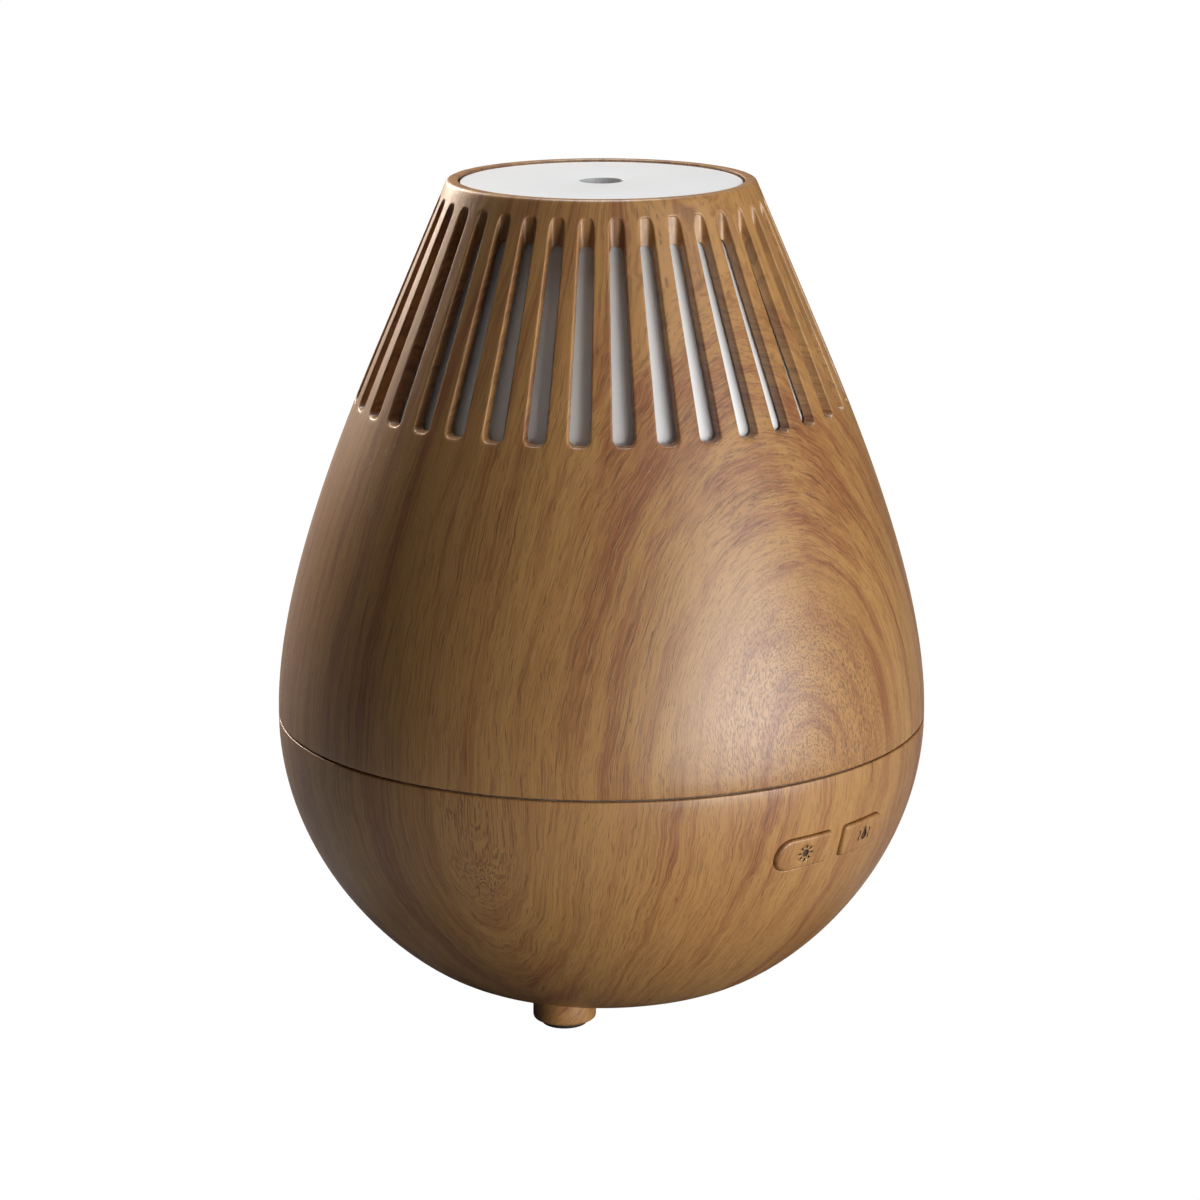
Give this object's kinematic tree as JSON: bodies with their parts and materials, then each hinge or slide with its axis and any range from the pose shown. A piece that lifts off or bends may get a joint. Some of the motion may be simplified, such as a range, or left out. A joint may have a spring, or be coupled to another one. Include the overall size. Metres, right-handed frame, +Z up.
{
  "type": "cool mist humidifier",
  "caption": "Pear-shaped ultrasonic cool mist humidifier with a slotted wood-look cover over a round base, a white top disc with a mist outlet and push buttons.",
  "frame": {"origin": "on the table under the middle of the body, at the underside of the rubber pads", "axes": "+Z up along the body's axis, the buttons face -Y, +X to the right seen from the front"},
  "size_m": [0.125, 0.125, 0.158],
  "materials": {
    "wood_film": "wood grain film on moulded plastic, satin",
    "white_satin": "white moulded plastic, satin",
    "milky_plastic": "milky light-spreading plastic, satin",
    "tank_plastic": "translucent white plastic, satin",
    "rubber": "black rubber, matte",
    "grey_rubber": "grey silicone, matte",
    "steel": "plated steel",
    "aluminium": "extruded aluminium",
    "black_plastic": "black moulded plastic",
    "board": "green circuit board lacquer",
    "brass": "sintered brass",
    "copper": "enamelled copper wire",
    "ceramic": "piezo ceramic with a metal face",
    "led_lens": "clear light chip lens",
    "nylon": "natural nylon",
    "red_wire": "red wire insulation",
    "black_wire": "black wire insulation",
    "grey_wire": "grey wire insulation"
  },
  "bodies": {
    "base": {"base_bowl": "wood_film", "foot_pads": "rubber", "case_screws": "steel", "intake_grille": "black_plastic", "fan_frame": "black_plastic", "fan_screws": "steel", "fan_bearing": "brass", "fan_stator": "copper", "main_board": "board", "board_screws": "steel", "capacitors": "black_plastic", "driver_coil": "copper", "driver_transistor": "black_plastic", "heat_sink": "aluminium", "control_chip": "black_plastic", "light_chips": "led_lens", "wire_connectors": "nylon", "transducer_disc": "ceramic", "transducer_seal": "grey_rubber", "transducer_retainer": "white_satin", "retainer_screws": "steel", "transducer_leads": "red_wire", "fan_leads": "black_wire", "switch_leads": "grey_wire", "power_leads": "red_wire", "power_jack": "black_plastic", "jack_pin": "brass", "jack_nut": "steel", "switch_board": "board", "push_switches": "steel", "switch_board_screws": "steel", "water_tank": "tank_plastic", "tank_gasket": "grey_rubber", "duct_cap": "white_satin"},
    "cover": {"outer_cover": "wood_film", "top_disc": "white_satin", "light_diffuser": "milky_plastic", "mist_funnel": "white_satin", "cover_screws": "steel"},
    "fan_rotor": {"fan_impeller": "black_plastic", "fan_magnet": "steel", "fan_shaft": "steel"},
    "light_key": {"light_button": "wood_film", "light_plunger": "black_plastic"},
    "mist_key": {"mist_button": "wood_film", "mist_plunger": "black_plastic"}
  },
  "joints": [
    {"name": "cover_lift", "type": "slide", "parent": "base", "child": "cover", "axis": [0, 0, 1], "range_m": [0, 0.13]},
    {"name": "fan_spin", "type": "hinge", "parent": "base", "child": "fan_rotor", "pos_m": [0, 0, 0.013], "axis": [0, 0, 1], "continuous": true},
    {"name": "light_press", "type": "slide", "parent": "base", "child": "light_key", "axis": [0, 1, 0], "range_m": [0, 0.0005], "stiffness_N_per_m": 4000},
    {"name": "mist_press", "type": "slide", "parent": "base", "child": "mist_key", "axis": [0, 1, 0], "range_m": [0, 0.0005], "stiffness_N_per_m": 4000}
  ]
}
